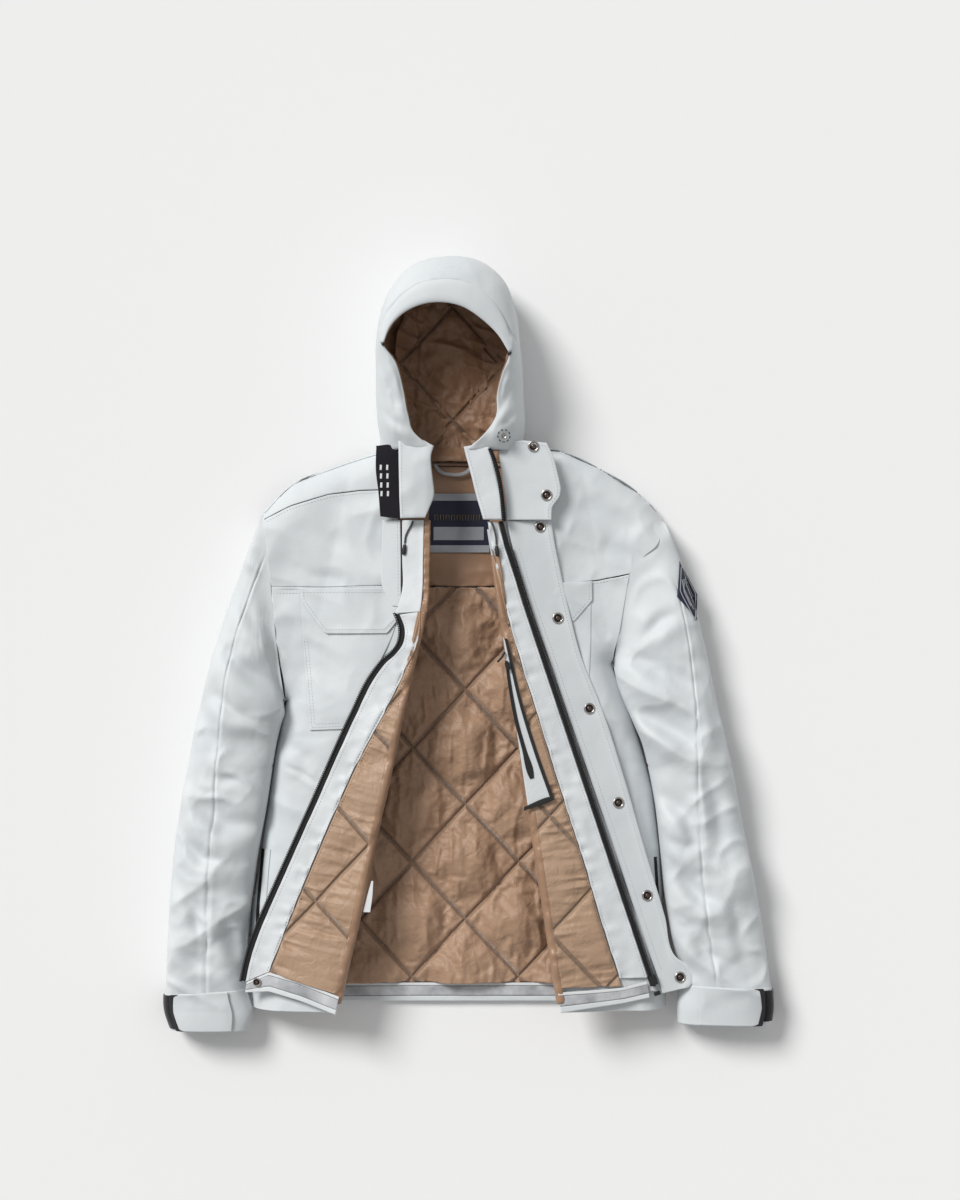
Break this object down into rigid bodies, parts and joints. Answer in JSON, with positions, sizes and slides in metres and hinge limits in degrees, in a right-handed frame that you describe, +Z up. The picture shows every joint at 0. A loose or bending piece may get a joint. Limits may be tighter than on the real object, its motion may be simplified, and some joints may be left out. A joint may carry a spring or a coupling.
{
  "type": "ski jacket",
  "caption": "Hooded ski jacket laid on its back, both fronts folded open to show the quilted lining, with a snapped storm flap, zips, pockets and hook-and-loop cuffs",
  "frame": {"origin": "centre of the footprint of the jacket, on the surface it lies on", "axes": "+Z up out of the surface, from the back of the jacket to its front; +Y from the hem to the hood; +X towards the wearer's left sleeve"},
  "size_m": [0.8114, 1.0237, 0.1332],
  "materials": {
    "shell": "matte woven polyester",
    "lining": "satin quilted",
    "zip_black": "satin",
    "snap_metal": "satin",
    "reflective": "satin",
    "label_navy": "matte",
    "loop_black": "hook and loop",
    "cord_grey": "braided"
  },
  "bodies": {
    "torso": {"back_shell": "shell", "back_lining": "lining", "back_hem_tape": "reflective", "right_front_shell": "shell", "left_front_shell": "shell", "right_collar": "shell", "collar_patch": "loop_black", "right_placket": "shell", "right_neck_facing": "shell", "left_collar": "shell", "collar_flap": "shell", "flap_snap_1": "snap_metal", "flap_snap_2": "snap_metal", "neck_label": "label_navy", "right_chest_pocket": "shell", "left_chest_pocket": "shell", "right_hand_pocket_zip": "zip_black", "left_hand_pocket_zip": "zip_black", "right_drawcord": "cord_grey", "right_cord_end": "cord_grey"},
    "hood": {"hood_shell": "shell", "hood_lining": "lining", "hood_brim": "shell"},
    "right_front": {"right_zip_tape": "zip_black", "right_facing": "shell", "right_front_lining": "lining", "right_hem_tape": "reflective", "hem_snap": "snap_metal"},
    "left_front": {"left_zip_tape": "zip_black", "left_facing": "shell", "left_front_lining": "lining", "left_hem_tape": "reflective", "inner_pocket_panel": "shell", "inner_pocket_edging": "zip_black", "inner_pocket_zip": "zip_black", "zip_stop_box": "zip_black", "left_drawcord": "cord_grey", "left_cord_end": "cord_grey"},
    "storm_flap": {"storm_flap": "shell", "flap_snap_3": "snap_metal", "flap_snap_4": "snap_metal", "flap_snap_5": "snap_metal", "flap_snap_6": "snap_metal", "flap_snap_7": "snap_metal", "flap_snap_8": "snap_metal"},
    "zip_slider": {"zip_slider": "zip_black"},
    "inner_pocket_slider": {"inner_pocket_slider": "zip_black"},
    "right_upper_sleeve": {"right_upper_sleeve": "shell"},
    "left_upper_sleeve": {"left_upper_sleeve": "shell", "sleeve_badge": "label_navy"},
    "right_forearm": {"right_forearm_sleeve": "shell", "right_cuff_loop_strip": "loop_black"},
    "left_forearm": {"left_forearm_sleeve": "shell", "left_cuff_loop_strip": "loop_black"},
    "right_cuff_tab": {"right_cuff_tab": "shell"},
    "left_cuff_tab": {"left_cuff_tab": "shell"},
    "right_chest_flap": {"right_chest_flap": "shell"},
    "hanger_loop": {"hanger_loop": "reflective"}
  },
  "joints": [
    {"name": "hood_lift", "type": "hinge", "parent": "torso", "child": "hood", "pos_m": [0, 0.26173, 0.075], "axis": [1, 0, 0], "range_deg": [0, 30]},
    {"name": "right_front_fold", "type": "hinge", "parent": "torso", "child": "right_front", "pos_m": [-0.10835, -0.20423, 0.0779], "axis": [0.2125, 0.9772, 0], "range_deg": [0, 187]},
    {"name": "left_front_fold", "type": "hinge", "parent": "torso", "child": "left_front", "pos_m": [0.07447, -0.19763, 0.0779], "axis": [0.1448, -0.9895, 0], "range_deg": [0, 187]},
    {"name": "storm_flap_lift", "type": "hinge", "parent": "left_front", "child": "storm_flap", "pos_m": [0.15341, -0.16991, 0.06706], "axis": [-0.3137, 0.9491, 0.0277], "range_deg": [-60, 0]},
    {"name": "right_shoulder_swing", "type": "hinge", "parent": "torso", "child": "right_upper_sleeve", "pos_m": [-0.26741, 0.11257, 0.03], "axis": [0, 0, -1], "range_deg": [0, 30]},
    {"name": "left_shoulder_swing", "type": "hinge", "parent": "torso", "child": "left_upper_sleeve", "pos_m": [0.24739, 0.10465, 0.03], "axis": [0, 0, 1], "range_deg": [0, 30]},
    {"name": "right_elbow", "type": "hinge", "parent": "right_upper_sleeve", "child": "right_forearm", "pos_m": [-0.31757, -0.15935, 0.079], "axis": [-1, 0, 0], "range_deg": [0, 60]},
    {"name": "left_elbow", "type": "hinge", "parent": "left_upper_sleeve", "child": "left_forearm", "pos_m": [0.29227, -0.15935, 0.079], "axis": [-1, 0, 0], "range_deg": [0, 60]},
    {"name": "right_cuff_tab_peel", "type": "hinge", "parent": "right_forearm", "child": "right_cuff_tab", "pos_m": [-0.31625, -0.48803, 0.0525], "axis": [0, 1, 0], "range_deg": [0, 100]},
    {"name": "left_cuff_tab_peel", "type": "hinge", "parent": "left_forearm", "child": "left_cuff_tab", "pos_m": [0.31537, -0.48143, 0.0525], "axis": [0, -1, 0], "range_deg": [0, 100]},
    {"name": "right_chest_flap_lift", "type": "hinge", "parent": "torso", "child": "right_chest_flap", "pos_m": [-0.11825, 0.07561, 0.06454], "axis": [-0.9929, 0, -0.1191], "range_deg": [0, 95]},
    {"name": "hanger_loop_lift", "type": "hinge", "parent": "torso", "child": "hanger_loop", "pos_m": [-0.02189, 0.23665, 0.0135], "axis": [-1, 0, 0], "range_deg": [0, 90]},
    {"name": "zip_slider_run", "type": "slide", "parent": "left_front", "child": "zip_slider", "axis": [0.3137, -0.9491, -0.0277], "range_m": [-0.42, 0]},
    {"name": "inner_pocket_slider_run", "type": "slide", "parent": "left_front", "child": "inner_pocket_slider", "axis": [0.2079, -0.9781, -0.0103], "range_m": [0, 0.12]}
  ]
}
